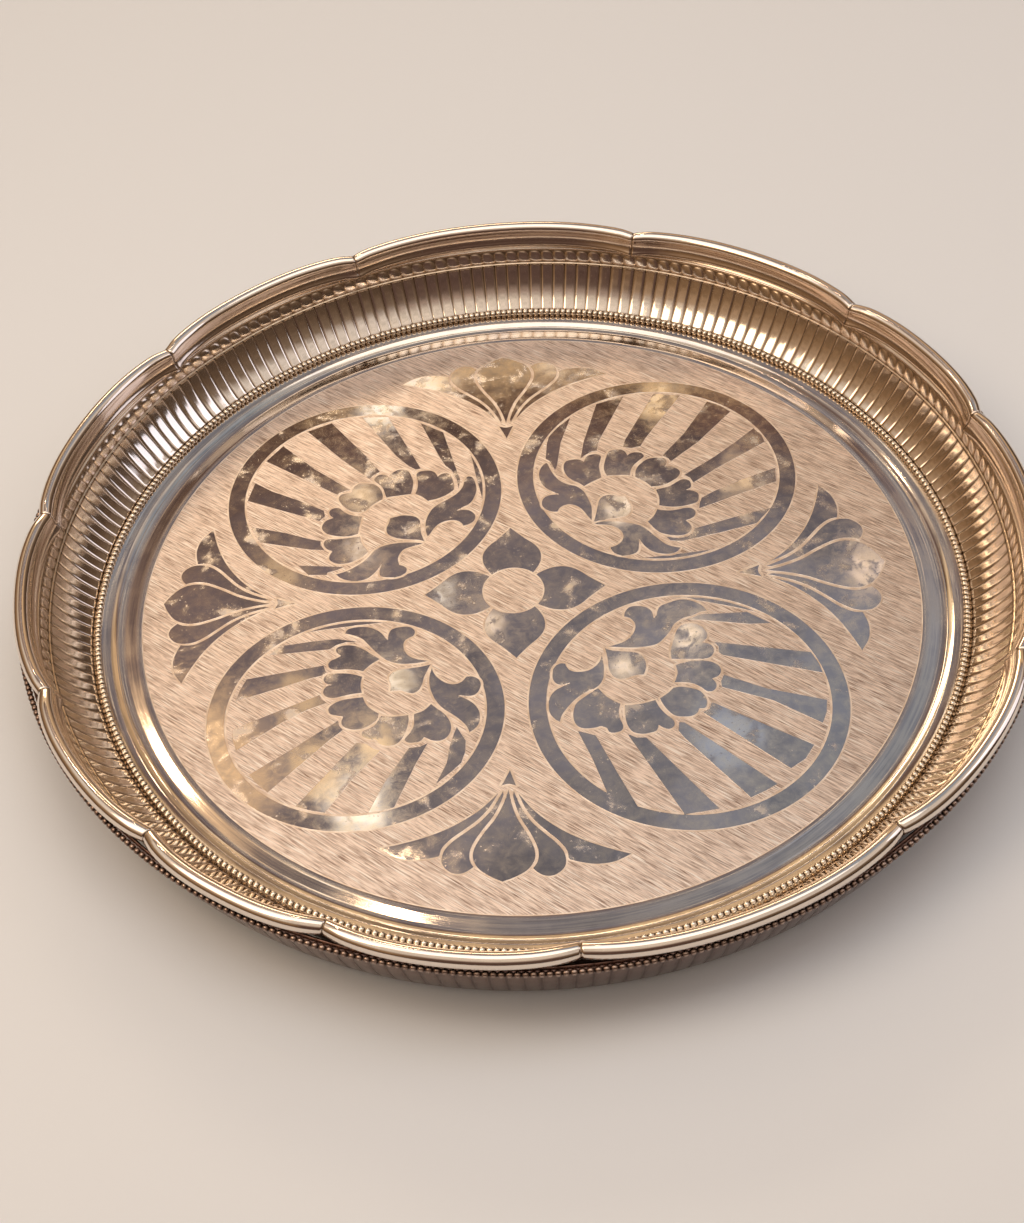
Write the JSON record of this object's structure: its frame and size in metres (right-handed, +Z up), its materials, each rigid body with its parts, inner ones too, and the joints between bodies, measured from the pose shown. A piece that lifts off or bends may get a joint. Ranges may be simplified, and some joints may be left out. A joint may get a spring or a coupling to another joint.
{
  "type": "thali plate",
  "caption": "Round scalloped serving plate with a fluted upright wall, rolled lobed border, beaded wires and a flat engraved floor.",
  "frame": {"origin": "centre of the resting face, under the middle of the plate", "axes": "+Z up along the plate's axis, out of the dish; +X to the right and +Y to the back as the picture shows the plate"},
  "size_m": [0.2998, 0.2998, 0.0295],
  "materials": {
    "dish_silver": "silver plated, satin brushed floor with polished motifs, polished wall",
    "border_silver": "silver plated, mirror polished",
    "wire_steel": "bare wire inside the border"
  },
  "bodies": {
    "root": {"dish_body": "dish_silver", "rim_section_01": "border_silver", "rim_section_02": "border_silver", "rim_section_03": "border_silver", "rim_section_04": "border_silver", "rim_section_05": "border_silver", "rim_section_06": "border_silver", "rim_section_07": "border_silver", "rim_section_08": "border_silver", "rim_section_09": "border_silver", "rim_section_10": "border_silver", "rim_section_11": "border_silver", "rim_section_12": "border_silver", "rim_wire": "wire_steel", "inner_bead_wire": "border_silver", "outer_gallery": "dish_silver", "outer_bead_wire": "border_silver"}
  },
  "joints": []
}
